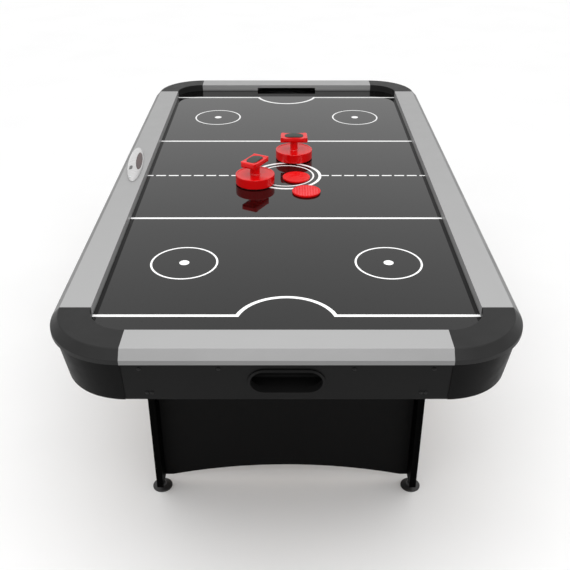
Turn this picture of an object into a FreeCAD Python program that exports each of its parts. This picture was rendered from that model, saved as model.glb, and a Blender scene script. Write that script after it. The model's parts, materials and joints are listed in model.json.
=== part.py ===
import FreeCAD, Part
import math
import os

# Air hockey table, 7 ft class. Millimetres. Origin on the floor under the middle of the table,
# +X to the right of a player standing at the near end, +Y towards the far end, +Z up.

# ---- driving dimensions -------------------------------------------------------------------
FIELD_WIDTH = 921.0
FIELD_LENGTH = 1945.6
FIELD_Z = 754.6            # playing surface above the floor
FIELD_BOARD = 12.0         # board thickness
BOARD_TUCK = 10.2          # board edge hidden under the rails

RAIL_HEIGHT = 25.5         # wall above the playing surface
RAIL_TOP = 74.2            # flat top of the rail
CHAMFER_RUN = 19.5
CHAMFER_DROP = 20.4
LIP_HEIGHT = 10.8
CORNER_RADIUS = 95.5       # inner wall at the corners
SEAM = 0.3                 # gap between neighbouring trim pieces

GOAL_WIDTH = 251.0
GOAL_HEIGHT = 13.2

APRON_BOTTOM = -121.1      # below the playing surface
APRON_THICK = 15.0
APRON_INSET_TOP = 7.6      # corner shell inside the rail's outer edge, at its top
APRON_INSET_BOTTOM = 27.5
APRON_STEP = 1.5           # aprons sit this much behind the corner shells
SHELL_WALL = 5.0

CHAMBER_DEPTH = 60.0
BATTEN = 30.0
CHAMBER_FLOOR = 9.0

CUP_Z = -64.6              # centre of the return cup, below the playing surface
CUP_WIDTH = 162.0
CUP_HEIGHT = 64.0
CUP_DEPTH = 50.0
CUP_WALL = 2.5

LEG_X = 380.5              # middle of each leg post and its leveller
POST_THICK = 19.0
POST_FRONT = 695.0         # outer edge of the posts, from the table's middle
POST_DEPTH = 70.0
POST_BOTTOM = 30.0
PANEL_THICK = 12.0
PANEL_RISE = 39.0          # arch of the panel's lower edge
LEVELLER_Y = 655.0
LEVELLER_RADIUS = 29.5
STUD_RADIUS = 4.0
STUD_FIT = 0.05

PUSHER_RADIUS = 63.0
PUSHER_HEIGHT = 33.0
GRIP_LENGTH = 96.0
GRIP_WIDTH = 57.0
GRIP_BOTTOM = 64.0
GRIP_THICK = 18.0
STEM_RADIUS = 13.0           # half the stem's width along the grip
STEM_STRETCH = 1.3           # its width across the grip over that
PUSHER_A = (-101.5, -63.0, 61.0)    # x, y, and the grip's turn in degrees
PUSHER_B = (26.0, 161.0, 0.0)
PUCK_RADIUS = 45.0
PUCK_THICK = 6.0
PUCK_SMOOTH = (32.5, -23.0)
PUCK_GRID = (63.0, -139.0)
FLOAT = 0.3                # loose pieces ride this high on the air film

SCORER_Y = 35.0
SCORER_X = -504.0
SCORER_TURN = 5.0            # degrees off the rail's direction
SCORER_LENGTH = 300.0
SCORER_WIDTH = 50.0
SCORER_HEIGHT = 19.0
SCORER_BASE = 0.8

BLOWER_RADIUS = 90.0
BLOWER_HEIGHT = 58.0
SHEET = 2.5

POWER_Y = 300.0            # mains inlet and switch on the right apron
POWER_Z = -60.0

# ---- worked out from them -----------------------------------------------------------------
HALF_W = FIELD_WIDTH / 2
HALF_L = FIELD_LENGTH / 2
RAIL_WIDTH = RAIL_TOP + CHAMFER_RUN
CORNER_X = HALF_W - CORNER_RADIUS
CORNER_Y = HALF_L - CORNER_RADIUS
OUTER_RADIUS = CORNER_RADIUS + RAIL_WIDTH
RAIL_UNDER = -3.0
CHAMFER_Z = RAIL_HEIGHT - CHAMFER_DROP
APRON_TOP = RAIL_UNDER - 0.2
APRON_SLOPE = (APRON_INSET_BOTTOM - APRON_INSET_TOP) / (CHAMFER_Z - LIP_HEIGHT - APRON_BOTTOM)
APRON_TILT = math.degrees(math.atan(APRON_SLOPE))
CHAMBER_TOP = -FIELD_BOARD - 0.2
CHAMBER_LOW = CHAMBER_TOP - CHAMBER_DEPTH
FLOOR_LOW = CHAMBER_LOW - CHAMBER_FLOOR
LEG_TOP = FIELD_Z + FLOOR_LOW - 0.2
X_AXIS = FreeCAD.Vector(1, 0, 0)
Y_AXIS = FreeCAD.Vector(0, 1, 0)
Z_AXIS = FreeCAD.Vector(0, 0, 1)
ENDS = {"near": -1, "far": 1}
SIDES = {"left": -1, "right": 1}


# ---- helpers ------------------------------------------------------------------------------
def vec(x, y, z):
    return FreeCAD.Vector(x, y, z)


def block(low, high):
    size = [high[i] - low[i] for i in range(3)]
    return Part.makeBox(size[0], size[1], size[2], vec(*low))


def rod(radius, low, high, x=0.0, y=0.0):
    return Part.makeCylinder(radius, high - low, vec(x, y, low))


def outline(points, place):
    """Closed wire through (u, v) points; a third number rounds that corner."""
    starts = []
    arcs = []
    count = len(points)
    for i, point in enumerate(points):
        corner = vec(point[0], point[1], 0)
        radius = point[2] if len(point) > 2 else 0.0
        if radius == 0.0:
            starts.append((corner, corner))
            arcs.append(None)
            continue
        before = points[i - 1]
        after = points[(i + 1) % count]
        back = (vec(before[0], before[1], 0) - corner).normalize()
        ahead = (vec(after[0], after[1], 0) - corner).normalize()
        half = back.getAngle(ahead) / 2
        bisector = (back + ahead).normalize()
        run = radius / math.tan(half)
        first = corner + back * run
        last = corner + ahead * run
        middle = corner + bisector * (radius / math.sin(half) - radius)
        starts.append((first, last))
        arcs.append(middle)
    edges = []
    for i in range(count):
        first, last = starts[i]
        if arcs[i] is not None:
            arc = Part.Arc(place(first), place(arcs[i]), place(last))
            edges.append(arc.toShape())
        following = starts[(i + 1) % count][0]
        if (following - last).Length > 1e-6:
            edges.append(Part.LineSegment(place(last), place(following)).toShape())
    return Part.Wire(edges)


def plate(points, low, high):
    """Plan outline in X, Y, from height low to high."""
    face = Part.Face(outline(points, lambda p: vec(p.x, p.y, low)))
    return face.extrude(vec(0, 0, high - low))


def upright(points, low, high):
    """Outline in X, Z, from y = low to y = high."""
    face = Part.Face(outline(points, lambda p: vec(p.x, low, p.y)))
    return face.extrude(vec(0, high - low, 0))


def turned(points, angle=360.0):
    """Outline in radius, Z, turned about the Z axis from the X axis."""
    face = Part.Face(outline(points, lambda p: vec(p.x, 0, p.y)))
    return face.revolve(vec(0, 0, 0), Z_AXIS, angle)


def rounded(length, width, radius):
    """Plan outline of a rectangle about the origin with rounded corners."""
    u = length / 2
    v = width / 2
    return [(-u, -v, radius), (u, -v, radius), (u, v, radius), (-u, v, radius)]


def end_run(points, reach, end):
    """Outline in distance beyond the end wall, Z, run across the table between +-reach."""
    def place(p):
        return vec(-reach, end * (HALF_L + p.x), p.y)
    return Part.Face(outline(points, place)).extrude(vec(2 * reach, 0, 0))


def side_run(points, reach, side):
    """Outline in distance beyond the side wall, Z, run along the table between +-reach."""
    def place(p):
        return vec(side * (HALF_W + p.x), -reach, p.y)
    return Part.Face(outline(points, place)).extrude(vec(0, 2 * reach, 0))


def at_corner(shape, end, side):
    """Turn a quarter piece, made in the +X +Y quadrant, to one corner of the table."""
    quarter = {(1, 1): 0, (1, -1): 90, (-1, -1): 180, (-1, 1): 270}[(end, side)]
    placed = shape.copy()
    placed.rotate(vec(0, 0, 0), Z_AXIS, quarter)
    placed.translate(vec(side * CORNER_X, end * CORNER_Y, 0))
    return placed


def apron_face(z):
    """Distance of an apron's outer face beyond the playing field's wall at height z."""
    top = CHAMFER_Z - LIP_HEIGHT
    return RAIL_WIDTH - APRON_INSET_TOP - APRON_STEP - APRON_SLOPE * (top - z)


def on_near_apron(shape, x, z):
    """Place a shape made at the origin, outward along -Y, on the near apron's sloping face."""
    placed = shape.copy()
    placed.rotate(vec(0, 0, 0), X_AXIS, APRON_TILT)
    placed.translate(vec(x, -(HALF_L + apron_face(z)), z))
    return placed


def on_side_apron(shape, side, y, z):
    """The same on the left or right apron."""
    placed = shape.copy()
    placed.rotate(vec(0, 0, 0), X_AXIS, APRON_TILT)
    placed.rotate(vec(0, 0, 0), Z_AXIS, 90 * side)
    placed.translate(vec(side * (HALF_W + apron_face(z)), y, z))
    return placed


def to_end(shape, end):
    """A piece made for the near end, turned round to the far end when asked."""
    placed = shape.copy()
    if end > 0:
        placed.rotate(vec(0, 0, 0), Z_AXIS, 180)
    return placed


def save(name, shape, lift=FIELD_Z):
    """Write one sub-part; lift raises shapes drawn from the playing surface."""
    placed = shape.copy()
    placed.translate(vec(0, 0, lift))
    placed.exportStep("parts/" + name + ".step")


# ---- table top ----------------------------------------------------------------------------
def playfield():
    x = HALF_W + BOARD_TUCK
    y = HALF_L + BOARD_TUCK
    return block((-x, -y, -FIELD_BOARD), (x, y, 0))


RAIL_SECTION = [
    (0, 0), (0, RAIL_HEIGHT, 1.2), (RAIL_TOP, RAIL_HEIGHT, 2.5),
    (RAIL_WIDTH, CHAMFER_Z, 2.0), (RAIL_WIDTH, CHAMFER_Z - LIP_HEIGHT),
    (RAIL_WIDTH - 3, CHAMFER_Z - LIP_HEIGHT), (RAIL_WIDTH - 3, RAIL_UNDER),
    (BOARD_TUCK + SEAM, RAIL_UNDER), (BOARD_TUCK + SEAM, 0),
]


def side_rail(side):
    return side_run(RAIL_SECTION, CORNER_Y - SEAM / 2, side)


def end_rail(end):
    rail = end_run(RAIL_SECTION, CORNER_X - SEAM / 2, end)
    half = GOAL_WIDTH / 2
    mouth = block((-half, HALF_L - 1, RAIL_UNDER - 1), (half, HALF_L + RAIL_TOP - 4, GOAL_HEIGHT))
    return rail.cut(to_end(mouth, -end))


def corner_cap():
    """Quarter ring with the rail's outer section, hollow underneath."""
    wall = 4.2
    top = RAIL_HEIGHT - wall
    skirt = OUTER_RADIUS - wall
    low = CHAMFER_Z - LIP_HEIGHT
    section = [
        (CORNER_RADIUS, 0), (CORNER_RADIUS, RAIL_HEIGHT, 1.5),
        (CORNER_RADIUS + RAIL_TOP, RAIL_HEIGHT, 5.0), (OUTER_RADIUS, CHAMFER_Z, 3.0),
        (OUTER_RADIUS, low, 0.8), (skirt, low), (skirt, CHAMFER_Z - 2),
        (CORNER_RADIUS + RAIL_TOP - 2, top), (CORNER_RADIUS + wall, top), (CORNER_RADIUS + wall, 0),
    ]
    return turned(section, 90.0)


def corner_shell():
    """Quarter of the apron's corner, with a flange under the cap's skirt."""
    top_radius = OUTER_RADIUS - APRON_INSET_TOP
    low_radius = OUTER_RADIUS - APRON_INSET_BOTTOM
    flange = 155.0
    top = CHAMFER_Z - LIP_HEIGHT - SEAM
    under = top - SHELL_WALL
    section = [
        (low_radius, APRON_BOTTOM, 1.5), (top_radius, top, 1.5), (flange, top),
        (flange, under), (top_radius - SHELL_WALL - 1, under), (low_radius - SHELL_WALL, APRON_BOTTOM),
    ]
    return turned(section, 90.0)


# ---- aprons, goals and puck returns -------------------------------------------------------
def apron_section():
    return [
        (apron_face(APRON_BOTTOM), APRON_BOTTOM, 1.5), (apron_face(APRON_TOP), APRON_TOP),
        (apron_face(APRON_TOP) - APRON_THICK, APRON_TOP),
        (apron_face(APRON_BOTTOM) - APRON_THICK, APRON_BOTTOM),
    ]


def stadium(width, height, front, back):
    """Rounded slot outline facing the near end, from y = front to y = back."""
    return upright(rounded(width, height, height / 2 - 0.01), front, back)


def end_apron(end):
    reach = CORNER_X - SEAM
    apron = end_run(apron_section(), reach, -1)
    hole = stadium(CUP_WIDTH + 2 * CUP_WALL + 0.6, CUP_HEIGHT + 2 * CUP_WALL + 0.6, -20, 60)
    apron = apron.cut(on_near_apron(hole, 0, CUP_Z))
    return to_end(apron, end)


def side_apron(side):
    apron = side_run(apron_section(), CORNER_Y - SEAM, side)
    if side > 0:
        hole = upright(rounded(50.6, 28.6, 2.0), -20, 60)
        apron = apron.cut(on_side_apron(hole, side, POWER_Y, POWER_Z))
    return apron


def return_cup(end):
    """Bezel and neck in the apron, with an open-topped tray behind them."""
    half_w = CUP_WIDTH / 2
    half_h = CUP_HEIGHT / 2
    neck_end = APRON_THICK + 3
    tray_front = APRON_THICK + 0.6
    tray_top = 12.0
    flange = stadium(CUP_WIDTH + 12, CUP_HEIGHT + 16, -3, 0)
    neck = stadium(CUP_WIDTH + 2 * CUP_WALL, CUP_HEIGHT + 2 * CUP_WALL, -3, neck_end)
    tray = block((-half_w - CUP_WALL, tray_front, -half_h - CUP_WALL),
                 (half_w + CUP_WALL, CUP_DEPTH, tray_top))
    back = CUP_DEPTH - CUP_WALL
    room = [(tray_front + CUP_WALL, -half_h), (back, -half_h, 5.0), (back, half_h),
            (tray_front + CUP_WALL, half_h)]
    hollow = Part.Face(outline(room, lambda p: vec(-half_w, p.x, p.y))).extrude(vec(CUP_WIDTH, 0, 0))
    cup = flange.fuse(neck).fuse(tray).cut(hollow)
    cup = cup.cut(stadium(CUP_WIDTH, CUP_HEIGHT, -5, back - 5)).removeSplitter()
    return to_end(on_near_apron(cup, 0, CUP_Z), end)


def goal_box(end):
    """Hopper behind the goal mouth that funnels the puck down into the return cup."""
    wide = GOAL_WIDTH / 2
    neck = 60.0
    low = -31.0
    outer = [
        (-wide - SHEET, APRON_TOP), (-wide - SHEET, -8), (-neck - SHEET, low),
        (neck + SHEET, low), (wide + SHEET, -8), (wide + SHEET, APRON_TOP),
    ]
    inner = [
        (-wide, APRON_TOP + 1), (-wide, -7), (-neck, low - 1),
        (neck, low - 1), (wide, -7), (wide, APRON_TOP + 1),
    ]
    back = -(HALF_L + BOARD_TUCK + SEAM)
    front = -(HALF_L + 63)
    hopper = upright(outer, front, back).cut(upright(inner, front - 1, back - SHEET))
    slope = [(back - SHEET + 0.5, -7), (back - SHEET - 12, low), (back - SHEET + 0.5, low)]
    wedge = Part.Face(outline(slope, lambda p: vec(-neck - 1, p.x, p.y)))
    hopper = hopper.fuse(wedge.extrude(vec(2 * neck + 2, 0, 0))).removeSplitter()
    return to_end(hopper, end)


def goal_sensors():
    """One light gate in each goal mouth: a small block under the rail at both sides."""
    parts = []
    for end in ENDS.values():
        for side in SIDES.values():
            x = side * (GOAL_WIDTH / 2 + 9)
            y = end * (HALF_L + 30)
            parts.append(block((x - 5, y - 9, APRON_TOP - 10), (x + 5, y + 9, APRON_TOP - 0.2)))
    return Part.makeCompound(parts)


# ---- air chamber and underframe -----------------------------------------------------------
def chamber_floor():
    x = HALF_W + BOARD_TUCK
    y = HALF_L + BOARD_TUCK
    floor = block((-x, -y, FLOOR_LOW), (x, y, CHAMBER_LOW))
    return floor.cut(rod(55, FLOOR_LOW - 1, CHAMBER_LOW + 1))


def underframe():
    x = HALF_W + BOARD_TUCK
    y = HALF_L + BOARD_TUCK
    low = CHAMBER_LOW + 0.1
    parts = []
    for side in SIDES.values():
        inner = side * (x - BATTEN)
        parts.append(block((min(inner, side * x), -y, low), (max(inner, side * x), y, CHAMBER_TOP)))
    for end in ENDS.values():
        inner = end * (y - BATTEN)
        parts.append(block((-x + BATTEN + 0.1, min(inner, end * y), low),
                           (x - BATTEN - 0.1, max(inner, end * y), CHAMBER_TOP)))
    high = FLOOR_LOW - 0.1
    low = high - 19
    ledger = [(-30, low), (apron_face(low) - APRON_THICK - 0.2, low),
              (apron_face(high) - APRON_THICK - 0.2, high), (-30, high)]
    for side in SIDES.values():
        parts.append(side_run(ledger, CORNER_Y - 60, side))
    for end in ENDS.values():
        for side in SIDES.values():
            arm = end_run(ledger, 100, end)
            arm.translate(vec(side * 215, 0, 0))
            parts.append(arm)
        front = end * (POST_FRONT - POST_DEPTH - 0.3)
        back = front - end * 20
        parts.append(block((-428, min(front, back), high - 37), (428, max(front, back), high)))
    return Part.makeCompound(parts)


# ---- blower -------------------------------------------------------------------------------
BLOWER_TOP = FLOOR_LOW - 0.1
BLOWER_LOW = BLOWER_TOP - BLOWER_HEIGHT
MOTOR_RADIUS = 32.0
MOTOR_LOW = BLOWER_TOP - 24
SHAFT_RADIUS = 3.0
WHEEL_RADIUS = 72.0
INTAKE_RADIUS = 48.0


def blower_housing():
    can = turned([
        (INTAKE_RADIUS, BLOWER_LOW), (BLOWER_RADIUS, BLOWER_LOW, 4), (BLOWER_RADIUS, BLOWER_TOP - 3),
        (BLOWER_RADIUS + 12, BLOWER_TOP - 3), (BLOWER_RADIUS + 12, BLOWER_TOP),
        (BLOWER_RADIUS - SHEET, BLOWER_TOP), (BLOWER_RADIUS - SHEET, BLOWER_LOW + SHEET),
        (INTAKE_RADIUS, BLOWER_LOW + SHEET),
    ])
    return can


def blower_motor():
    can = turned([
        (SHAFT_RADIUS + STUD_FIT, MOTOR_LOW), (MOTOR_RADIUS, MOTOR_LOW, 3),
        (MOTOR_RADIUS, BLOWER_TOP - 3, 3), (SHAFT_RADIUS + STUD_FIT, BLOWER_TOP - 3),
    ])
    for i in range(3):
        arm = block((MOTOR_RADIUS - 3, -6, BLOWER_TOP - 8), (BLOWER_RADIUS - SHEET - 0.8, 6, BLOWER_TOP - 5))
        arm.rotate(vec(0, 0, 0), Z_AXIS, 120 * i + 90)
        can = can.fuse(arm)
    return can.removeSplitter()


def blower_wheel():
    top = MOTOR_LOW - 3
    hub = rod(10, top - 22, top)
    wheel = hub.fuse(rod(WHEEL_RADIUS, top - 2, top)).fuse(rod(SHAFT_RADIUS, top - 1, BLOWER_TOP - 6))
    ring = rod(WHEEL_RADIUS, top - 24, top - 22).cut(rod(WHEEL_RADIUS - 16, top - 25, top - 21))
    wheel = wheel.fuse(ring)
    blades = 18
    for i in range(blades):
        blade = block((WHEEL_RADIUS - 15, -0.8, top - 23), (WHEEL_RADIUS - 1, 0.8, top - 1))
        blade.rotate(vec(WHEEL_RADIUS - 8, 0, 0), Z_AXIS, 28)
        blade.rotate(vec(0, 0, 0), Z_AXIS, 360.0 * i / blades)
        wheel = wheel.fuse(blade)
    return wheel.removeSplitter()


def blower_grille():
    low = BLOWER_LOW - 2.2
    high = BLOWER_LOW - 0.1
    rings = 5
    pitch = (INTAKE_RADIUS + 6) / rings
    grille = rod(pitch * 0.5, low, high)
    for i in range(1, rings + 1):
        outer = pitch * i
        grille = grille.fuse(rod(outer, low, high).cut(rod(outer - 2.2, low - 1, high + 1)))
    for i in range(4):
        spoke = block((-outer + 1, -1.6, low), (outer - 1, 1.6, high))
        spoke.rotate(vec(0, 0, 0), Z_AXIS, 45 * i)
        grille = grille.fuse(spoke)
    return grille.removeSplitter()


# ---- mains inlet and switch ---------------------------------------------------------------
ROCKER_X = 15.0
ROCKER_HALF = (5.5, 9.0)
ROCKER_AXIS = 3.5            # pivot behind the apron's face


def power_inlet():
    body = upright(rounded(58, 36, 3), -2.5, 0).fuse(upright(rounded(50, 28, 1.5), -1, 24))
    socket = upright([(-23, -8, 1), (3, -8, 1), (3, 5, 1), (-1, 9, 1), (-19, 9, 1), (-23, 5, 1)], -4, 18)
    body = body.cut(socket)
    for x in (-17, -10, -3):
        body = body.fuse(block((x - 1, 5, -2.5), (x + 1, 19, 2.5)))
    well_x = ROCKER_HALF[0] + 0.4
    well_z = ROCKER_HALF[1] + 1.2
    well = block((ROCKER_X - well_x, -4, -well_z), (ROCKER_X + well_x, 12, well_z))
    body = body.cut(well).removeSplitter()
    return on_side_apron(body, 1, POWER_Y, POWER_Z)


def power_rocker():
    wide, tall = ROCKER_HALF
    cap = [(-3.4, -tall + 0.8), (-5.4, -tall + 2.2), (-2.6, 0), (-3.0, tall - 0.8),
           (4.0, tall - 4.0), (6.5, 1.5), (6.5, -1.5), (4.0, -tall + 4.0)]
    face = Part.Face(outline(cap, lambda p: vec(ROCKER_X - wide, p.x, p.y)))
    pin = Part.makeCylinder(1.5, 2 * wide + 0.6, vec(ROCKER_X - wide - 0.3, ROCKER_AXIS, 0), X_AXIS)
    return on_side_apron(face.extrude(vec(2 * wide, 0, 0)).fuse(pin), 1, POWER_Y, POWER_Z)


# ---- electronic scorer on the left rail ---------------------------------------------------
LENS_LEAN = 57.0           # the display leans back this far from upright
LENS_OFFSET = 17.0         # its plane's distance from the shell's long axis
LENS_RIM = 1.2             # shell left standing round the display
BUTTON_PLACE = (-9.0, -68.0)
BUTTON_SIZE = (10.0, 24.0)
BUTTON_FOOT = 6.0          # underside of the button above the shell's foot


def egg(shrink):
    """Upper half of a long flat egg lying along Y with its flat face on the rail."""
    radius = SCORER_WIDTH / 2 - shrink
    stretch = FreeCAD.Matrix()
    stretch.scale(1, (SCORER_LENGTH / 2 - shrink) / radius, (SCORER_HEIGHT - shrink) / radius)
    dome = Part.makeSphere(radius, vec(0, 0, 0), Z_AXIS, 0, 90, 360)
    return dome.transformGeometry(stretch)


def beyond_lens(offset):
    """Everything outside the display's sloping plane, offset from the long axis."""
    half = SCORER_LENGTH
    cutter = block((offset, -half, -half), (offset + half, half, half))
    cutter.rotate(vec(0, 0, 0), Y_AXIS, -LENS_LEAN)
    return cutter


def place_scorer(shape):
    placed = shape.copy()
    placed.rotate(vec(0, 0, 0), Z_AXIS, SCORER_TURN)
    placed.translate(vec(SCORER_X, SCORER_Y, RAIL_HEIGHT + SCORER_BASE + 0.1))
    return placed


def scorer_base():
    pad = plate(rounded(SCORER_WIDTH - 22, SCORER_LENGTH - 80, 13), -SCORER_BASE, -0.1)
    return place_scorer(pad)


def button_well(grow):
    x, y = BUTTON_PLACE
    width, length = BUTTON_SIZE
    well = plate(rounded(width + 2 * grow, length + 2 * grow, width / 2 + grow - 0.01),
                 BUTTON_FOOT, 2 * SCORER_HEIGHT)
    well.translate(vec(x, y, 0))
    return well


def lens_window(margin, inner):
    """The oval field of the display, from its plane's inner offset outwards."""
    clear = block((-SCORER_WIDTH, -SCORER_LENGTH, LENS_RIM + margin),
                  (SCORER_WIDTH, SCORER_LENGTH, SCORER_WIDTH))
    return egg(LENS_RIM + margin).common(beyond_lens(inner)).common(clear)


def scorer_shell():
    wall = 2.0
    dome = egg(0.0).cut(beyond_lens(LENS_OFFSET))
    hollow = egg(wall).cut(beyond_lens(LENS_OFFSET - wall))
    shell = dome.cut(hollow).cut(lens_window(0.0, LENS_OFFSET - wall - 1))
    return place_scorer(shell.cut(button_well(0.3)))


def scorer_lens():
    lens = lens_window(0.3, LENS_OFFSET - 1.8).cut(beyond_lens(LENS_OFFSET + 0.3))
    return place_scorer(lens)


def scorer_button():
    return place_scorer(button_well(0.0).common(egg(-1.4)))


# ---- legs ---------------------------------------------------------------------------------
def leg_post(end, side):
    x = side * LEG_X
    front = end * POST_FRONT
    back = end * (POST_FRONT - POST_DEPTH)
    post = block((x - POST_THICK / 2, min(front, back), POST_BOTTOM),
                 (x + POST_THICK / 2, max(front, back), LEG_TOP))
    return post.cut(rod(STUD_RADIUS + STUD_FIT, 0, POST_BOTTOM + 50, x, end * LEVELLER_Y))


def leg_panel(end):
    half = LEG_X - POST_THICK / 2 - 0.1
    foot = half - 22
    sides = [vec(-half, 0, POST_BOTTOM), vec(-half, 0, LEG_TOP), vec(half, 0, LEG_TOP),
             vec(half, 0, POST_BOTTOM), vec(foot, 0, POST_BOTTOM)]
    edges = [Part.LineSegment(a, b).toShape() for a, b in zip(sides, sides[1:])]
    arch = Part.Arc(vec(foot, 0, POST_BOTTOM), vec(0, 0, POST_BOTTOM + PANEL_RISE),
                    vec(-foot, 0, POST_BOTTOM))
    edges.append(arch.toShape())
    edges.append(Part.LineSegment(vec(-foot, 0, POST_BOTTOM), vec(-half, 0, POST_BOTTOM)).toShape())
    panel = Part.Face(Part.Wire(edges)).extrude(vec(0, PANEL_THICK, 0))
    panel.translate(vec(0, -(POST_FRONT - POST_DEPTH) - PANEL_THICK, 0))
    return to_end(panel, end)


def leg_brackets():
    """Steel angles that tie each post to the chamber floor."""
    parts = []
    for end in ENDS.values():
        for side in SIDES.values():
            arm = 36.0
            angle = upright([(0, 0), (-arm, 0), (-arm, -SHEET), (-SHEET, -SHEET, 2), (-SHEET, -arm),
                             (0, -arm)], -18, 18)
            if side < 0:
                angle = angle.mirror(vec(0, 0, 0), X_AXIS)
            inner = side * (LEG_X - POST_THICK / 2 - 0.1)
            angle.translate(vec(inner, end * (POST_FRONT - 30), LEG_TOP + 0.1))
            parts.append(angle)
    return Part.makeCompound(parts)


# ---- levellers ----------------------------------------------------------------------------
PAD_BORE = 5.2
COLLAR = (POST_BOTTOM - 8.4, POST_BOTTOM - 0.4)


def leveller_pad(end, side):
    pad = turned([
        (0, 0), (LEVELLER_RADIUS, 0, 1.0), (LEVELLER_RADIUS, 4, 1.5), (13, 9, 4), (9, 15, 2),
        (PAD_BORE, 15), (PAD_BORE, 3), (0, 3),
    ])
    pad.translate(vec(side * LEG_X, end * LEVELLER_Y, 0))
    return pad


def leveller_stud(end, side):
    low, high = COLLAR
    across = 15.0
    corner = across / math.sqrt(3)
    points = [(corner * math.cos(math.radians(60 * i)), corner * math.sin(math.radians(60 * i)))
              for i in range(6)]
    stud = rod(PAD_BORE - STUD_FIT, 3.1, 14).fuse(rod(STUD_RADIUS, 13, POST_BOTTOM + 45))
    stud = stud.fuse(plate(points, low, high)).removeSplitter()
    stud.translate(vec(side * LEG_X, end * LEVELLER_Y, 0))
    return stud


# ---- screws -------------------------------------------------------------------------------
def apron_screws():
    head = turned([(0, -2.4), (3.0, -2.4, 1.2), (4.2, 0), (1.8, 0), (1.8, 10), (0, 10)])
    head.rotate(vec(0, 0, 0), X_AXIS, -90)
    parts = []
    places = [(149.5, -24.5), (324.5, -24.5), (303.0, -99.0), (314.0, -99.0)]
    for x, z in places:
        for side in SIDES.values():
            near = on_near_apron(head, side * x, z)
            parts.append(near)
            parts.append(to_end(near, 1))
    for side in SIDES.values():
        for y in (-800, -400, 0, 400, 800):
            parts.append(on_side_apron(head, side, y, -24.5))
    return Part.makeCompound(parts)


# ---- pushers and pucks --------------------------------------------------------------------
RIM_STEP = 1.5             # rim standing above the middle of the base
BELLY_STRETCH = 1.3        # the belly's length along the grip over its width across it
CROWN_RADIUS = 128.0


def set_pusher(shape, where):
    x, y, turn = where
    placed = shape.copy()
    placed.rotate(vec(0, 0, 0), Z_AXIS, turn)
    placed.translate(vec(x, y, FLOAT))
    return placed


def pusher_base():
    wall = 3.5
    r = PUSHER_RADIUS
    top = PUSHER_HEIGHT
    dish = top - RIM_STEP
    return turned([
        (r - 2, 1.2), (r, 3.2, 1.5), (r, top, 1.8), (r - 5, top, 1.2), (r - 6.5, dish),
        (0, dish), (0, dish - wall), (r - 9, dish - wall, 3), (r - wall - 0.5, 1.2),
    ])


def pusher_felt():
    return turned([(0, 0), (PUSHER_RADIUS - 3.5, 0), (PUSHER_RADIUS - 3.5, 1.1), (0, 1.1)])


def grip_recess(grow, low, high):
    return plate(rounded(64 + 2 * grow, 36 + 2 * grow, 16), low, high)


def grip_slab():
    """Bar with rounded lower edges and slightly raised ends."""
    half = GRIP_LENGTH / 2
    side = GRIP_WIDTH / 2
    low = GRIP_BOTTOM
    tip = low + GRIP_THICK
    saddle = tip - 1.4
    profile = [
        (-half, low, 5), (half, low, 5), (half - 3, tip, 4), (half - 12, tip, 6),
        (half - 18, saddle, 6), (-half + 18, saddle, 6), (-half + 12, tip, 6), (-half + 3, tip, 4),
    ]
    section = [
        (-side + 3, low, 5), (side - 3, low, 5), (side, low + 9, 6), (side - 1, tip + 1),
        (-side + 1, tip + 1), (-side, low + 9, 6),
    ]
    run = Part.Face(outline(section, lambda p: vec(-half - 1, p.x, p.y))).extrude(vec(2 * half + 2, 0, 0))
    plan = plate(rounded(GRIP_LENGTH, GRIP_WIDTH, 14), low - 1, tip + 1)
    return upright(profile, -side - 1, side + 1).common(run).common(plan)


def stretched(shape, along, across):
    scale = FreeCAD.Matrix()
    scale.scale(along, across, 1)
    return shape.transformGeometry(scale)


def pusher_stem():
    """Oval stem, wider across the grip than along it, with a belly under the grip."""
    foot = PUSHER_HEIGHT - RIM_STEP + 0.1
    r = STEM_RADIUS
    low = GRIP_BOTTOM
    stem = turned([(0, foot), (r + 1.5, foot), (r, foot + 3, 3), (r, low + 1), (0, low + 1)])
    belly = turned([(0, low - 8), (r - 3, low - 8), (r + 1, low - 5, 4), (24, low + 2), (0, low + 2)])
    return stretched(stem, 1, STEM_STRETCH).fuse(stretched(belly, BELLY_STRETCH, 1))


def pusher_handle():
    grip = grip_slab().fuse(pusher_stem()).removeSplitter()
    return grip.cut(grip_recess(0.2, GRIP_BOTTOM + 12, GRIP_BOTTOM + 30))


def grip_insert():
    """Soft pad with a gently crowned top."""
    crown = GRIP_BOTTOM + GRIP_THICK + 3.5
    pad = grip_recess(0.0, GRIP_BOTTOM + 12.1, crown + 1)
    return pad.common(Part.makeSphere(CROWN_RADIUS, vec(0, 0, crown - CROWN_RADIUS)))


def puck_smooth():
    x, y = PUCK_SMOOTH
    disc = turned([(0, 0), (PUCK_RADIUS, 0, 1.2), (PUCK_RADIUS, PUCK_THICK, 1.2), (0, PUCK_THICK)])
    disc.translate(vec(x, y, FLOAT))
    return disc


def puck_grid():
    x, y = PUCK_GRID
    disc = turned([
        (0, 0), (PUCK_RADIUS, 0, 1.2), (PUCK_RADIUS, PUCK_THICK, 1.0), (PUCK_RADIUS - 4, PUCK_THICK),
        (PUCK_RADIUS - 4.6, PUCK_THICK - 0.8), (0, PUCK_THICK - 0.8),
    ])
    disc.translate(vec(x, y, FLOAT))
    return disc


# ---- write every sub-part -----------------------------------------------------------------
os.makedirs("parts", exist_ok=True)

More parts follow.
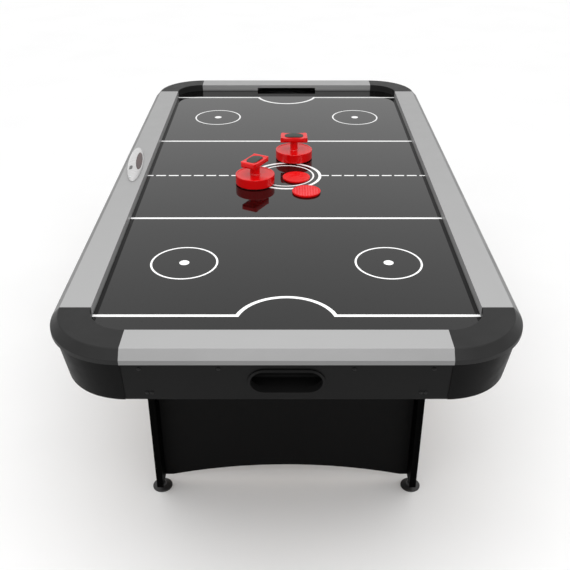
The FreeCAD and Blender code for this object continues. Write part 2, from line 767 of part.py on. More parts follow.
save("playfield", playfield())
save("chamber_floor", chamber_floor())
save("underframe", underframe())
save("goal_sensors", goal_sensors())
save("apron_screws", apron_screws())
for side_name, side in SIDES.items():
    save(side_name + "_rail", side_rail(side))
    save(side_name + "_apron", side_apron(side))
for end_name, end in ENDS.items():
    save(end_name + "_rail", end_rail(end))
    save(end_name + "_apron", end_apron(end))
    save(end_name + "_goal_box", goal_box(end))
    save(end_name + "_return_cup", return_cup(end))
    save(end_name + "_leg_panel", leg_panel(end), 0)
    for side_name, side in SIDES.items():
        corner = end_name + "_" + side_name
        save(corner + "_corner_cap", at_corner(corner_cap(), end, side))
        save(corner + "_corner_shell", at_corner(corner_shell(), end, side))
        save(corner + "_leg_post", leg_post(end, side), 0)
        save(corner + "_leveller_pad", leveller_pad(end, side), 0)
        save(corner + "_leveller_stud", leveller_stud(end, side), 0)
save("leg_brackets", leg_brackets(), 0)

save("blower_housing", blower_housing())
save("blower_motor", blower_motor())
save("blower_wheel", blower_wheel())
save("blower_grille", blower_grille())
save("power_inlet", power_inlet())
save("power_rocker", power_rocker())

save("scorer_base", scorer_base())
save("scorer_shell", scorer_shell())
save("scorer_lens", scorer_lens())
save("scorer_button", scorer_button())

for letter, where in (("a", PUSHER_A), ("b", PUSHER_B)):
    save("pusher_" + letter + "_base", set_pusher(pusher_base(), where))
    save("pusher_" + letter + "_felt", set_pusher(pusher_felt(), where))
    save("pusher_" + letter + "_handle", set_pusher(pusher_handle(), where))
    save("pusher_" + letter + "_insert", set_pusher(grip_insert(), where))
save("puck_smooth", puck_smooth())
save("puck_grid", puck_grid())
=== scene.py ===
import json
import math

import bmesh
import bpy
from mathutils import Matrix, Vector


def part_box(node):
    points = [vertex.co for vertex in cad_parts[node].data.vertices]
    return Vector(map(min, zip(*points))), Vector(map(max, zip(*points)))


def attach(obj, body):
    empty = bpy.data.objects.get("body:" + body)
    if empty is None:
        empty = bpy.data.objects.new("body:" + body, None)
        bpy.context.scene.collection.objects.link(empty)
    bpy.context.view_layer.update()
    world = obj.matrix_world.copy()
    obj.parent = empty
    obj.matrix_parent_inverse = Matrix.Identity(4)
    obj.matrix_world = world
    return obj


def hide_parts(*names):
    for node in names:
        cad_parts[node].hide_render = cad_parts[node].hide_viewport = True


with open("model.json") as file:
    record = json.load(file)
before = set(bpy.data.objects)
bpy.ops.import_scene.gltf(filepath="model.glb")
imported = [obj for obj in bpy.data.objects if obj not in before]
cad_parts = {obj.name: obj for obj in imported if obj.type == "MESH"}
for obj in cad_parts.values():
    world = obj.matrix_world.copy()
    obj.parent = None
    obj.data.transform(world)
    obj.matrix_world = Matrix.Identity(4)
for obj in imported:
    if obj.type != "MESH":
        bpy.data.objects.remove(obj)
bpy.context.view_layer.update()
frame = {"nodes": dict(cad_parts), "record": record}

# Air hockey table. Metres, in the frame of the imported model: +Z up, the near end towards -Y.

NODES = frame["nodes"]

# ---- places read from the frame -----------------------------------------------------------
board_low, board_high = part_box("playfield")
FIELD_Z = board_high.z
HALF_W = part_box("right_rail")[0].x
HALF_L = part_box("far_rail")[0].y
RAIL_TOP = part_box("left_rail")[1].z
DARK_FOOT_HEIGHT = 0.0108
LIP_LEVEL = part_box("left_rail")[0].z + DARK_FOOT_HEIGHT
APRON_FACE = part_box("far_apron")[1].y


# ---- node material helpers ----------------------------------------------------------------
class Finish:
    """A Principled material under construction, with short calls for the nodes used here."""

    def __init__(self, name, **sockets):
        self.material = bpy.data.materials.new(name)
        self.material.use_nodes = True
        self.tree = self.material.node_tree
        self.shader = self.tree.nodes["Principled BSDF"]
        for socket, value in sockets.items():
            self.shader.inputs[socket.replace("_", " ")].default_value = value
        self.place = self.tree.nodes.new("ShaderNodeTexCoord").outputs["Object"]

    def add(self, kind, inputs, **settings):
        node = self.tree.nodes.new(kind)
        for key, value in settings.items():
            setattr(node, key, value)
        for socket, value in inputs.items():
            if isinstance(value, bpy.types.NodeSocket):
                self.tree.links.new(value, node.inputs[socket])
            else:
                node.inputs[socket].default_value = value
        return node

    def stretched(self, x, y, z):
        """Object coordinates scaled by x, y and z, for grain that runs one way."""
        return self.add("ShaderNodeMapping", {"Vector": self.place, "Scale": (x, y, z)}).outputs[0]

    def noise(self, scale, detail=3.0, where=None, rough=0.5):
        inputs = {"Vector": where or self.place, "Scale": scale, "Detail": detail, "Roughness": rough}
        return self.add("ShaderNodeTexNoise", inputs).outputs["Fac"]

    def cells(self, scale, where=None, feature="F1"):
        node = self.add("ShaderNodeTexVoronoi", {"Vector": where or self.place, "Scale": scale},
                        feature=feature)
        return node.outputs["Distance"]

    def span(self, factor, low, high, start=0.3, end=0.7):
        inputs = {"Value": factor, "From Min": start, "From Max": end, "To Min": low, "To Max": high}
        return self.add("ShaderNodeMapRange", inputs).outputs["Result"]

    def math(self, operation, first, second):
        node = self.tree.nodes.new("ShaderNodeMath")
        node.operation = operation
        for i, value in enumerate((first, second)):
            if isinstance(value, bpy.types.NodeSocket):
                self.tree.links.new(value, node.inputs[i])
            else:
                node.inputs[i].default_value = value
        return node.outputs[0]

    def colours(self, factor, low, high, start=0.3, end=0.7, between=()):
        """Base colour from low to high as factor goes from start to end, past any stops between."""
        ramp = self.tree.nodes.new("ShaderNodeValToRGB")
        for element, position, colour in zip(ramp.color_ramp.elements, (start, end), (low, high)):
            element.position = position
            element.color = (*colour, 1.0)
        for position, colour in between:
            ramp.color_ramp.elements.new(position).color = (*colour, 1.0)
        self.tree.links.new(factor, ramp.inputs["Fac"])
        self.tree.links.new(ramp.outputs["Color"], self.shader.inputs["Base Color"])
        return self

    def roughness(self, factor, low, high):
        self.tree.links.new(self.span(factor, low, high), self.shader.inputs["Roughness"])
        return self

    def bump(self, height, strength, distance):
        """Adds relief of that distance, in metres, on top of any added before."""
        inputs = {"Height": height, "Strength": strength, "Distance": distance}
        normal = self.shader.inputs["Normal"]
        if normal.is_linked:
            inputs["Normal"] = normal.links[0].from_socket
        made = self.add("ShaderNodeBump", inputs)
        self.tree.links.new(made.outputs["Normal"], normal)
        return self


def grey(level, warm=0.0):
    return (level * (1 + warm), level, level * (1 - warm))


def moulded(name, low, high, rough, grain=900.0, depth=0.00006, **sockets):
    """Injection-moulded plastic: a fine even skin, slow colour drift and slightly uneven gloss."""
    made = Finish(name, **sockets)
    made.colours(made.noise(9.0), low, high)
    made.roughness(made.noise(45.0, 4.0), rough - 0.04, rough + 0.05)
    made.bump(made.noise(grain, 2.0), 0.5, depth)
    return made.material


def laminate(name, low, high, rough, along, **sockets):
    """Melamine-faced board with a shallow pore that runs along one axis."""
    across = 26.0
    scale = [across] * 3
    scale["xyz".index(along)] = 1.0
    made = Finish(name, **sockets)
    grain = made.noise(14.0, 6.0, made.stretched(*scale), 0.65)
    made.colours(grain, low, high)
    made.roughness(grain, rough - 0.05, rough + 0.06)
    made.bump(grain, 0.35, 0.00012)
    return made.material


def painted(name, low, high, rough, **sockets):
    """Powder coat on sheet metal, with its orange peel."""
    made = Finish(name, **sockets)
    made.colours(made.noise(12.0), low, high)
    made.roughness(made.noise(160.0), rough - 0.05, rough + 0.05)
    made.bump(made.noise(420.0, 2.0), 0.4, 0.00008)
    return made.material


# ---- materials ----------------------------------------------------------------------------
def field_finish():
    made = Finish("field_laminate", IOR=1.44)
    made.colours(made.noise(3.0, 4.0), grey(0.0014), grey(0.0022))
    scuffs = made.noise(30.0, 8.0, made.stretched(1.0, 0.25, 1.0), 0.7)
    made.roughness(scuffs, 0.012, 0.05)
    made.bump(made.noise(28.0, 2.0), 0.08, 0.00003)
    return made.material


def ink_finish():
    made = Finish("line_ink", IOR=1.45)
    made.colours(made.noise(60.0, 4.0), grey(0.86), grey(0.93))
    made.roughness(made.noise(90.0, 4.0), 0.18, 0.30)
    made.bump(made.noise(700.0, 2.0), 0.2, 0.00002)
    return made.material


# Tone levels of the painted light and shade on the rails: side chamfers painted darkest, end chamfers
# less, flat top and inner wall at the lit tone.
SHADED_SIDE_CHAMFER = 0.25
SHADED_END_CHAMFER = 0.50
LIT_FLAT_FACE = 0.85
SPECKLE = 0.08


def rail_finish():
    """Silver foil, darker grey along its foot, with painted shade on the chamfers: they are painted
    darker than the lit top and inner wall, darkest on the side rails.

    The tone is 0 on the foot and one of the three painted light and shade levels above on the faces
    over it.
    """
    made = Finish("rail_foil", Metallic=0.35, IOR=1.45, Specular_IOR_Level=0.2)
    flake = made.noise(1900.0, 2.0)
    x, y, z = made.add("ShaderNodeSeparateXYZ", {"Vector": made.place}).outputs
    past_x = made.math("SUBTRACT", made.math("ABSOLUTE", x, 0.0), HALF_W)
    past_y = made.math("SUBTRACT", made.math("ABSOLUTE", y, 0.0), HALF_L)
    # Darker grey on the rails' foot, up to LIP_LEVEL.
    above_dark_foot = made.span(z, 0.0, 1.0, LIP_LEVEL - 0.0006, LIP_LEVEL + 0.0002)
    # Painted shade: the flat top and the inner wall keep the lit tone, the chamfers are painted
    # darker, less so on the end rails.
    top = made.span(z, SHADED_SIDE_CHAMFER, LIT_FLAT_FACE, RAIL_TOP - 0.0004, RAIL_TOP - 0.0001)
    lit_inner_wall = made.span(made.math("MAXIMUM", past_x, past_y), LIT_FLAT_FACE, SHADED_SIDE_CHAMFER, 0.002, 0.004)
    end_rail_shade = made.span(made.math("SUBTRACT", past_y, past_x), SHADED_SIDE_CHAMFER, SHADED_END_CHAMFER,
                         -0.001, 0.001)
    level = made.math("MAXIMUM", made.math("MAXIMUM", top, lit_inner_wall), end_rail_shade)
    speckle = made.math("MULTIPLY", flake, SPECKLE)
    tone = made.math("ADD", made.math("MULTIPLY", above_dark_foot, level), speckle)
    middle = SPECKLE / 2
    # Colours: darker grey foot, painted shade on the side and end chamfers, lit tone on the top and
    # inner wall.
    made.colours(tone, grey(0.205), grey(0.358), middle, LIT_FLAT_FACE + middle,
                 [(SHADED_SIDE_CHAMFER + middle, grey(0.14)), (SHADED_END_CHAMFER + middle, grey(0.24))])
    made.roughness(made.noise(14.0, 5.0), 0.36, 0.46)
    made.bump(flake, 0.15, 0.00002)
    made.bump(made.noise(22.0, 3.0), 0.08, 0.00006)
    return made.material


def raw_board_finish():
    made = Finish("raw_fibreboard", IOR=1.45)
    fibres = made.noise(120.0, 8.0, made.stretched(1.0, 0.35, 1.0), 0.75)
    made.colours(fibres, (0.22, 0.145, 0.085), (0.36, 0.25, 0.155))
    made.roughness(fibres, 0.72, 0.9)
    made.bump(fibres, 0.5, 0.0002)
    return made.material


def steel_finish():
    made = Finish("zinc_steel", Metallic=1.0)
    spangle = made.cells(220.0)
    made.colours(spangle, grey(0.42), grey(0.60), 0.0, 0.8)
    made.roughness(made.noise(320.0, 3.0), 0.26, 0.42)
    made.bump(made.noise(1400.0, 2.0), 0.2, 0.00003)
    return made.material


DEEP_RED = ((0.60, 0.0004, 0.0010), (0.71, 0.0008, 0.0018))
# Lighter red for the puck's grid ribs: a painted highlight on their tops, over the same red plastic as
# the puck.
LIT_RIB_RED = ((0.68, 0.026, 0.034), (0.78, 0.038, 0.047))


def red_finish(name, rough, gloss, tints=DEEP_RED):
    made = Finish(name, IOR=1.46, Specular_IOR_Level=gloss)
    made.colours(made.noise(11.0, 3.0), *tints)
    made.roughness(made.noise(38.0, 6.0), rough - 0.05, rough + 0.06)
    made.bump(made.noise(640.0, 2.0), 0.25, 0.00003)
    return made.material


def felt_finish():
    made = Finish("felt", Sheen_Weight=0.6, Sheen_Roughness=0.5)
    fibres = made.noise(1300.0, 6.0, None, 0.8)
    made.colours(fibres, grey(0.018), grey(0.055))
    made.roughness(fibres, 0.85, 0.98)
    made.bump(fibres, 0.9, 0.0003)
    return made.material


def grip_finish():
    """Soft foam rubber with small closed pores."""
    made = Finish("grip_rubber", IOR=1.5)
    pores = made.cells(900.0)
    made.colours(pores, (0.018, 0.023, 0.019), (0.044, 0.054, 0.046), 0.1, 0.7)
    made.roughness(made.noise(200.0, 3.0), 0.62, 0.8)
    made.bump(pores, 0.6, 0.00018)
    return made.material


def lamp_finish():
    made = Finish("lamp_lens", IOR=1.46, Subsurface_Weight=0.2)
    made.colours(made.noise(800.0, 2.0), grey(0.84), grey(0.92))
    made.roughness(made.noise(300.0, 3.0), 0.10, 0.22)
    made.bump(made.noise(1500.0, 2.0), 0.2, 0.00002)
    return made.material


def lens_finish():
    made = Finish("display_window", IOR=1.49, Transmission_Weight=0.35, Specular_IOR_Level=0.36)
    made.colours(made.noise(26.0, 3.0), (0.050, 0.020, 0.018), (0.085, 0.034, 0.031))
    made.roughness(made.noise(60.0, 3.0), 0.06, 0.14)
    made.bump(made.noise(300.0, 1.0), 0.05, 0.00002)
    return made.material


def cup_finish():
    """Black plastic: the flange as dark as the apron, the tray behind it a little lighter."""
    made = Finish("cup_plastic", Specular_IOR_Level=0.05)
    y = made.add("ShaderNodeSeparateXYZ", {"Vector": made.place}).outputs["Y"]
    past_apron = made.math("SUBTRACT", made.math("ABSOLUTE", y, 0.0), APRON_FACE)
    speckle = made.math("MULTIPLY", made.noise(700.0, 2.0), 0.2)
    tone = made.math("ADD", made.span(past_apron, 0.8, 0.0, -0.003, -0.001), speckle)
    made.colours(tone, grey(0.0026), grey(0.0085), 0.1, 0.9)
    made.roughness(made.noise(45.0, 4.0), 0.32, 0.42)
    made.bump(made.noise(900.0, 2.0), 0.4, 0.00005)
    return made.material


FINISHES = {
    "field": field_finish(),
    "line": ink_finish(),
    "rail": rail_finish(),
    "cap": moulded("cap_plastic", grey(0.016), grey(0.021), 0.42, 780.0, 0.00009,
                   Specular_IOR_Level=0.11),
    "shell": moulded("shell_plastic", grey(0.0036), grey(0.0048), 0.40, 900.0, 0.00007,
                     Specular_IOR_Level=0.04),
    "apron_x": laminate("apron_board_x", grey(0.0036), grey(0.0053), 0.46, "x",
                        Specular_IOR_Level=0.09),
    "apron_y": laminate("apron_board_y", grey(0.0036), grey(0.0053), 0.46, "y",
                        Specular_IOR_Level=0.09),
    "leg_panel": laminate("leg_panel_board", grey(0.0025), grey(0.0041), 0.48, "z",
                          Specular_IOR_Level=0.062),
    "leg_post": laminate("leg_post_board", grey(0.0007), grey(0.0011), 0.48, "z",
                         Specular_IOR_Level=0.012),
    "raw_board": raw_board_finish(),
    "cup": cup_finish(),
    "sheet": painted("black_sheet", grey(0.012), grey(0.018), 0.45),
    "steel": steel_finish(),
    "screw": painted("black_oxide", grey(0.005), grey(0.010), 0.36, Metallic=0.6),
    "sensor": moulded("sensor_plastic", grey(0.014), grey(0.02), 0.4),
    "blower": moulded("blower_plastic", grey(0.012), grey(0.018), 0.44),
    "motor": painted("motor_paint", grey(0.20), grey(0.27), 0.40, Metallic=0.3),
    "grille": moulded("grille_plastic", grey(0.012), grey(0.018), 0.44),
    "inlet": moulded("inlet_plastic", grey(0.010), grey(0.015), 0.36),
    "rocker": moulded("rocker_plastic", (0.33, 0.008, 0.008), (0.40, 0.012, 0.012), 0.25),
    "scorer_shell": moulded("pearl_plastic", (0.43, 0.428, 0.427), (0.49, 0.487, 0.486), 0.26,
                            500.0, 0.00002, Coat_Weight=0.4, Coat_Roughness=0.1),
    "scorer_lens": lens_finish(),
    "lamp": lamp_finish(),
    "scorer_button": moulded("button_rubber", grey(0.10), grey(0.13), 0.6),
    "foot": moulded("foot_nylon", grey(0.012), grey(0.018), 0.46),
    "pusher": red_finish("pusher_plastic", 0.20, 0.40),
    "puck": red_finish("puck_plastic", 0.28, 0.22),
    # Puck grid ribs: lighter red as a painted highlight on their tops.
    "puck_rib": red_finish("puck_rib_painted_highlight", 0.36, 0.5, LIT_RIB_RED),
    "grip": grip_finish(),
    "felt": felt_finish(),
}


def finish_of(node, slot):
    if slot == "apron":
        return FINISHES["apron_x" if node.startswith(("near", "far")) else "apron_y"]
    if slot == "leg":
        return FINISHES["leg_panel" if node.endswith("panel") else "leg_post"]
    return FINISHES[slot]


def dress_cad_nodes():
    """Give every carried-over CAD node its procedural finish."""
    for part in frame["record"]["subparts"]:
        mesh = NODES[part["node"]].data
        mesh.materials.clear()
        mesh.materials.append(finish_of(part["node"], part["material_slot"]))


# ---- mesh helpers -------------------------------------------------------------------------
def piece(name, mesh_maker, finish, body="table", replaces=(), smooth_angle=35.0):
    """Turn a bmesh into an object that rides on a body."""
    mesh = bpy.data.meshes.new(name)
    mesh_maker.to_mesh(mesh)
    mesh_maker.free()
    mesh.materials.append(finish)
    mesh.shade_smooth()
    mesh.set_sharp_from_angle(angle=math.radians(smooth_angle))
    made = bpy.data.objects.new(name, mesh)
    bpy.context.scene.collection.objects.link(made)
    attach(made, body)
    if replaces:
        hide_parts(*replaces)
    return made


def ribbon(bm, path, width, low, high, closed=False):
    """A flat band of that width, centred on path, between two heights, with mitred corners."""
    count = len(path)
    rings = []
    for i, point in enumerate(path):
        before = path[i - 1] if closed or i > 0 else None
        after = path[(i + 1) % count] if closed or i < count - 1 else None
        arriving = (point - before).normalized() if before is not None else None
        leaving = (after - point).normalized() if after is not None else None
        arriving = arriving or leaving
        leaving = leaving or arriving
        tangent = (arriving + leaving).normalized()
        normal = Vector((-tangent.y, tangent.x))
        half = width / 2 / max(0.3, normal.dot(Vector((-leaving.y, leaving.x))))
        corners = [(1, high), (-1, high), (-1, low), (1, low)]
        rings.append([bm.verts.new((*(point + normal * half * s), z)) for s, z in corners])
    pairs = zip(rings, rings[1:] + rings[:1]) if closed else zip(rings, rings[1:])
    for a, b in pairs:
        for k in range(4):
            bm.faces.new((a[k], a[(k + 1) % 4], b[(k + 1) % 4], b[k]))
    if not closed:
        bm.faces.new(rings[0])
        bm.faces.new(reversed(rings[-1]))


def arc(centre, radius, start, end, steps):
    """Points from angle start to end in degrees, both included."""
    angles = [math.radians(start + (end - start) * i / steps) for i in range(steps + 1)]
    return [Vector((centre[0] + radius * math.cos(a), centre[1] + radius * math.sin(a)))
            for a in angles]


def circle(centre, radius, sides):
    """The corners of a regular polygon that stands for a circle."""
    return arc(centre, radius, 0, 360 - 360 / sides, sides - 1)


def lathe(bm, profile, centre, sides=48):
    """Turn (radius, height) pairs about a vertical axis, from the rim up to a point on the axis."""
    rings = []
    for radius, height in profile[:-1]:
        angles = [math.tau * i / sides for i in range(sides)]
        spokes = [Vector((radius * math.cos(a), radius * math.sin(a), height)) for a in angles]
        rings.append([bm.verts.new(centre + spoke) for spoke in spokes])
    tip = bm.verts.new(centre + Vector((0, 0, profile[-1][1])))
    for lower, upper in zip(rings, rings[1:]):
        for i in range(sides):
            j = (i + 1) % sides
            bm.faces.new((lower[i], lower[j], upper[j], upper[i]))
    for i in range(sides):
        bm.faces.new((rings[-1][i], rings[-1][(i + 1) % sides], tip))
    bm.faces.new(reversed(rings[0]))


# ---- playing board ------------------------------------------------------------------------
INK = 0.00006
LINE_END_GAP = 0.0002
GOAL_LINE = 0.8736
BLUE_LINE = 0.332
LINE_WIDTH = 0.0099
CREASE_CENTRE = 0.9113
CREASE_RADIUS = 0.1233
FACE_OFF = (0.2717, 0.609)
FACE_OFF_RADIUS = 0.0875
THIN_LINE = 0.0052
SPOT_RADIUS = 0.01335
CENTRE_RINGS = ((0.1110, 0.0095), (0.0894, 0.0053))
DASH = 0.0325
DASH_PERIOD = 0.0416
DASH_WIDTH = 0.0075
BOW_STEPS = 64
CENTRE_SIDES = 144
FACE_OFF_SIDES = 96
SPOT_SIDES = 24


def field_lines():
    """All the white lines, let in flush with the board and standing proud of it by INK."""
    bm = bmesh.new()
    low = FIELD_Z - 2 * INK
    high = FIELD_Z + INK
    reach = HALF_W - LINE_END_GAP
    for end in (-1, 1):
        half_angle = math.degrees(math.acos((CREASE_CENTRE - GOAL_LINE) / CREASE_RADIUS))
        facing = -90 * end
        bow = arc((0, end * CREASE_CENTRE), CREASE_RADIUS, facing - half_angle, facing + half_angle,
                  BOW_STEPS)
        if bow[0].x > bow[-1].x:
            bow.reverse()
        path = [Vector((-reach, end * GOAL_LINE)), *bow, Vector((reach, end * GOAL_LINE))]
        ribbon(bm, path, LINE_WIDTH, low, high)
        y = end * BLUE_LINE
        ribbon(bm, [Vector((-reach, y)), Vector((reach, y))], LINE_WIDTH, low, high)
        for side in (-1, 1):
            spot = (side * FACE_OFF[0], end * FACE_OFF[1])
            ribbon(bm, circle(spot, FACE_OFF_RADIUS, FACE_OFF_SIDES), THIN_LINE, low, high, True)
            rim = [bm.verts.new((*p, high)) for p in circle(spot, SPOT_RADIUS, SPOT_SIDES)]
            bm.faces.new(rim)
    for radius, width in CENTRE_RINGS:
        ribbon(bm, circle((0, 0), radius, CENTRE_SIDES), width, low, high, True)
    ring_edge = CENTRE_RINGS[0][0] + CENTRE_RINGS[0][1] / 2
    for side in (-1, 1):
        middle = DASH_PERIOD
        while middle - DASH / 2 < reach:
            start = max(middle - DASH / 2, ring_edge)
            stop = min(middle + DASH / 2, reach)
            if stop - start > DASH / 4:
                dash = [Vector((side * start, 0)), Vector((side * stop, 0))]
                ribbon(bm, dash, DASH_WIDTH, low, high)
            middle += DASH_PERIOD
    bmesh.ops.recalc_face_normals(bm, faces=bm.faces)
    piece("field_lines", bm, FINISHES["line"])


AIR_HOLE_PITCH = 0.0495
AIR_HOLE_RADIUS = 0.0007
AIR_HOLE_DEPTH = 0.003
AIR_HOLE_SIDES = 8
BOARD_WELD = 1e-6


def drilled_cell(bm, x0, y0, x1, y1, z):
    """One square of the board's top with an air hole in its middle."""
    centre = Vector(((x0 + x1) / 2, (y0 + y1) / 2, z))
    rim = []
    foot = []
    for i in range(AIR_HOLE_SIDES):
        angle = math.tau * (i + 0.5) / AIR_HOLE_SIDES
        out = Vector((math.cos(angle), math.sin(angle), 0)) * AIR_HOLE_RADIUS
        rim.append(bm.verts.new(centre + out))
        foot.append(bm.verts.new(centre + out - Vector((0, 0, AIR_HOLE_DEPTH))))
    corners = [bm.verts.new((x, y, z)) for x, y in ((x1, y1), (x0, y1), (x0, y0), (x1, y0))]
    per_side = AIR_HOLE_SIDES // 4
    for k in range(4):
        first = k * per_side
        run = [rim[(first + i) % AIR_HOLE_SIDES] for i in range(per_side)]
        ahead = rim[(first + per_side) % AIR_HOLE_SIDES]
        bm.faces.new((corners[k], *reversed(run)))
        bm.faces.new((corners[k], corners[(k + 1) % 4], ahead, run[-1]))
    for i in range(AIR_HOLE_SIDES):
        j = (i + 1) % AIR_HOLE_SIDES
        bm.faces.new((rim[i], rim[j], foot[j], foot[i]))
    bm.faces.new(foot)


def playing_board():
    """The board with its air holes: a drilled field, a plain border under the rails, and its sides."""
    bm = bmesh.new()
    across = round(2 * HALF_W / AIR_HOLE_PITCH)
    along = round(2 * HALF_L / AIR_HOLE_PITCH)
    xs = [-HALF_W + 2 * HALF_W * i / across for i in range(across + 1)]
    ys = [-HALF_L + 2 * HALF_L * i / along for i in range(along + 1)]
    for x0, x1 in zip(xs, xs[1:]):
        for y0, y1 in zip(ys, ys[1:]):
            drilled_cell(bm, x0, y0, x1, y1, FIELD_Z)
    ex0, ey0, ez0 = board_low
    ex1, ey1, ez1 = board_high
    edge_x = [ex0, *xs, ex1]
    edge_y = [ey0, *ys, ey1]
    for i, (x0, x1) in enumerate(zip(edge_x, edge_x[1:])):
        for j, (y0, y1) in enumerate(zip(edge_y, edge_y[1:])):
            if 0 < i < len(edge_x) - 2 and 0 < j < len(edge_y) - 2:
                continue
            corners = ((x0, y0), (x1, y0), (x1, y1), (x0, y1))
            bm.faces.new([bm.verts.new((x, y, ez1)) for x, y in corners])
    top_ring = [(x, ey0) for x in edge_x] + [(ex1, y) for y in edge_y[1:]]
    top_ring += [(x, ey1) for x in reversed(edge_x[:-1])]
    top_ring += [(ex0, y) for y in reversed(edge_y[1:-1])]
    upper = [bm.verts.new((x, y, ez1)) for x, y in top_ring]
    lower = [bm.verts.new((x, y, ez0)) for x, y in top_ring]
    for i in range(len(upper)):
        j = (i + 1) % len(upper)
        bm.faces.new((upper[i], lower[i], lower[j], upper[j]))
    bm.faces.new(lower)
    bmesh.ops.remove_doubles(bm, verts=bm.verts, dist=BOARD_WELD)
    bmesh.ops.recalc_face_normals(bm, faces=bm.faces)
    piece("playing_board", bm, FINISHES["field"], "table", ["playfield"], 20.0)


# ---- puck grid and scorer light -----------------------------------------------------------
GRID_PITCH = 0.0085
GRID_RIB = 0.0026
GRID_HEIGHT = 0.0007
GRID_BELOW_RIM = 0.0001
GRID_STAGGER = 0.00003
PUCK_RIM = 0.0048


def puck_grid():
    """Square grid of low ribs that fills the recess in the top of one puck, painted a lighter red than
    the puck as a painted highlight on the rib tops.
    """
    low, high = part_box("puck_grid")
    middle = (low + high) / 2
    reach = (high.x - low.x) / 2 - PUCK_RIM
    top = high.z - GRID_BELOW_RIM
    bm = bmesh.new()
    count = int(reach / GRID_PITCH)
    for i in range(-count, count + 1):
        offset = i * GRID_PITCH
        half = math.sqrt(reach ** 2 - offset ** 2)
        for along in (Vector((1, 0)), Vector((0, 1))):
            start = middle.xy + offset * Vector((along.y, along.x)) - half * along
            level = top - GRID_STAGGER * along.x
            ribbon(bm, [start, start + 2 * half * along], GRID_RIB, level - GRID_HEIGHT, level)
    bmesh.ops.recalc_face_normals(bm, faces=bm.faces)
    piece("puck_grid_ribs", bm, FINISHES["puck_rib"], "grid_puck")


SCORER_TURN = math.radians(5.0)
LIGHT_PLACE = Vector((-0.007, -0.129))
LIGHT_FOOT = 0.0062
COLLAR = ((0.0039, 0.0), (0.0039, 0.0023), (0.0036, 0.0027), (0.0031, 0.0027), (0.0031, 0.0021),
          (0, 0.0021))
DOME_RADIUS = 0.0028
DOME_FOOT = 0.0012
DOME_LEVEL = 0.0021
DOME_RISE = 0.0016
DOME_STEPS = 8


def scorer_light():
    """Small clear domed lamp in its collar, at the near end of the scorer."""
    low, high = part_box("scorer_base")
    turned = Matrix.Rotation(SCORER_TURN, 2) @ LIGHT_PLACE
    foot = Vector((*((low + high) / 2).xy, high.z + LIGHT_FOOT)) + turned.to_3d()
    bm = bmesh.new()
    lathe(bm, COLLAR, foot)
    piece("scorer_light_collar", bm, FINISHES["scorer_shell"])
    bm = bmesh.new()
    dome = [(DOME_RADIUS, DOME_FOOT)]
    dome += [(DOME_RADIUS * math.cos(a), DOME_LEVEL + DOME_RISE * math.sin(a))
             for a in [math.pi / 2 * i / DOME_STEPS for i in range(DOME_STEPS + 1)]]
    lathe(bm, dome, foot)
    piece("scorer_light", bm, FINISHES["lamp"])


# ---- apron screws -------------------------------------------------------------------------
HEAD_RADIUS = 0.0042
HEAD_HEIGHT = 0.0024
RECESS_REACH = 0.0021
RECESS_HALF = 0.0005
RECESS_DEPTH = 0.0013
HEAD_SIDES = 24
SHANK_SHARE = 0.43
HEAD_CURVE = ((1.0, 0.0), (0.98, 0.35), (0.9, 0.65), (0.78, 0.87), (0.62, 1.0))
SCREW_WELD = 1e-7


def islands(mesh):
    """The separate screws of a mesh, each as its list of faces."""
    bm = bmesh.new()
    bm.from_mesh(mesh)
    bmesh.ops.remove_doubles(bm, verts=bm.verts, dist=SCREW_WELD)
    left = set(bm.faces)
    found = []
    while left:
        queue = [left.pop()]
        members = []
        while queue:
            face = queue.pop()
            members.append(face)
            around = {other for edge in face.edges for other in edge.link_faces} & left
            left -= around
            queue.extend(around)
        found.append(members)
    return bm, found


def screw_axis(faces):
    """A point under the middle of the head and the direction out of the apron."""
    areas = {}
    for face in faces:
        key = tuple(round(c, 2) for c in face.normal)
        areas[key] = areas.get(key, 0.0) + face.calc_area()
    inward = max(areas, key=areas.get)
    out = -Vector(inward).normalized()
    points = [vert.co for face in faces for vert in face.verts]
    low, high = (pick(point.dot(out) for point in points) for pick in (min, max))
    head = [point for point in points if high - HEAD_HEIGHT * 1.1 < point.dot(out)]
    middle = sum(head, Vector()) / len(head)
    return middle + out * (high - HEAD_HEIGHT - middle.dot(out)), out, high - low


def cross_head(bm, foot, out, shank):
    """Pan head with a cross recess on a plain shank, standing at foot along out."""
    turn = out.to_track_quat("Z", "X").to_matrix()

    def ring(radius, height):
        angles = [math.tau * (i + 0.5) / HEAD_SIDES for i in range(HEAD_SIDES)]
        spokes = [Vector((radius * math.cos(a), radius * math.sin(a), height)) for a in angles]
        return [bm.verts.new(foot + turn @ spoke) for spoke in spokes]

    rings = [ring(HEAD_RADIUS * SHANK_SHARE, height) for height in (-shank, 0.0)]
    rings += [ring(HEAD_RADIUS * r, HEAD_HEIGHT * h) for r, h in HEAD_CURVE]
    for lower, upper in zip(rings, rings[1:]):
        for i in range(HEAD_SIDES):
            j = (i + 1) % HEAD_SIDES
            bm.faces.new((lower[i], lower[j], upper[j], upper[i]))
    bm.faces.new(reversed(rings[0]))
    arm, half = RECESS_REACH, RECESS_HALF
    quarter = [Vector((arm, -half)), Vector((arm, half)), Vector((half, half))]
    plus = [Matrix.Rotation(math.pi / 2 * k, 2) @ point for k in range(4) for point in quarter]
    mouth, bottom = ([bm.verts.new(foot + turn @ Vector((*point, height))) for point in plus]
                     for height in (HEAD_HEIGHT, HEAD_HEIGHT - RECESS_DEPTH))
    count = len(plus)
    for i in range(count):
        j = (i + 1) % count
        bm.faces.new((mouth[i], mouth[j], bottom[j], bottom[i]))
    bm.faces.new(bottom)
    loops = [bm.edges.get((loop[i], loop[(i + 1) % len(loop)])) for loop in (rings[-1], mouth)
             for i in range(len(loop))]
    bmesh.ops.bridge_loops(bm, edges=loops)


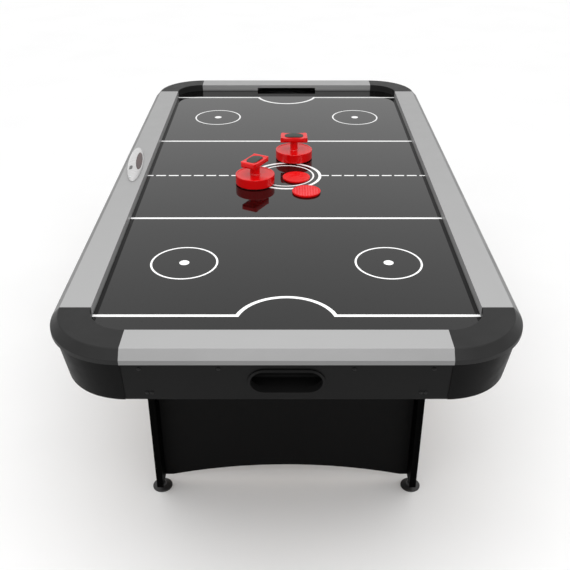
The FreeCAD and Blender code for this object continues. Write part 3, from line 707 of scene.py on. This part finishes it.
def apron_screws():
    """The apron screws again, each with a cross recess in its head."""
    source, screws = islands(NODES["apron_screws"].data)
    bm = bmesh.new()
    for faces in screws:
        foot, out, length = screw_axis(faces)
        cross_head(bm, foot, out, length - HEAD_HEIGHT)
    source.free()
    bmesh.ops.recalc_face_normals(bm, faces=bm.faces)
    piece("cross_head_screws", bm, FINISHES["screw"], "table", ["apron_screws"])


# ---- surroundings, light and camera -------------------------------------------------------
CAMERA_PLACE = (0.0, -2.482, 1.7657)
CAMERA_PITCH = 29.96
FOCAL_LENGTH = 50.506
SENSOR_WIDTH = 36.0
SHIFT_X = -0.00254
FLOOR_REACH = 40.0
WORLD_STRENGTH = 0.92
OVERHEAD_SPREAD = 85
OVERHEAD_ENERGY = 0.565
SOFT_BOX_PLACE = (0, -1.4, 2.2)
SOFT_BOX_SIZE = 2.0
SOFT_BOX_POWER = 18.1


def camera():
    data = bpy.data.cameras.new("camera")
    data.lens = FOCAL_LENGTH
    data.sensor_width = SENSOR_WIDTH
    data.shift_x = SHIFT_X
    made = bpy.data.objects.new("camera", data)
    made.location = CAMERA_PLACE
    made.rotation_euler = (math.radians(90 - CAMERA_PITCH), 0, 0)
    bpy.context.scene.collection.objects.link(made)
    bpy.context.scene.camera = made


def floor():
    bm = bmesh.new()
    bmesh.ops.create_grid(bm, x_segments=4, y_segments=4, size=FLOOR_REACH)
    mesh = bpy.data.meshes.new("studio_floor")
    bm.to_mesh(mesh)
    bm.free()
    finish = Finish("floor_paint", Specular_IOR_Level=0.15)
    finish.colours(finish.noise(2.0), grey(0.90), grey(0.92))
    finish.roughness(finish.noise(5.0), 0.75, 0.85)
    mesh.materials.append(finish.material)
    made = bpy.data.objects.new("studio_floor", mesh)
    bpy.context.scene.collection.objects.link(made)


def lamp(kind, name, place, **settings):
    """A light that shines straight down."""
    data = bpy.data.lights.new(name, kind)
    for key, value in settings.items():
        setattr(data, key, value)
    made = bpy.data.objects.new(name, data)
    made.location = place
    bpy.context.scene.collection.objects.link(made)


def lights():
    """Even white surroundings, a wide soft light overhead and a soft box above the near end."""
    world = bpy.data.worlds.new("studio")
    world.use_nodes = True
    background = world.node_tree.nodes["Background"]
    background.inputs["Color"].default_value = (1.0, 1.0, 1.0, 1.0)
    background.inputs["Strength"].default_value = WORLD_STRENGTH
    bpy.context.scene.world = world
    lamp("SUN", "overhead", (0, 0, 5), angle=math.radians(OVERHEAD_SPREAD), energy=OVERHEAD_ENERGY)
    lamp("AREA", "soft_box", SOFT_BOX_PLACE, shape="SQUARE", size=SOFT_BOX_SIZE,
         energy=SOFT_BOX_POWER)
    bpy.context.scene.view_settings.view_transform = "Standard"


dress_cad_nodes()
playing_board()
field_lines()
puck_grid()
scorer_light()
apron_screws()
floor()
lights()
camera()
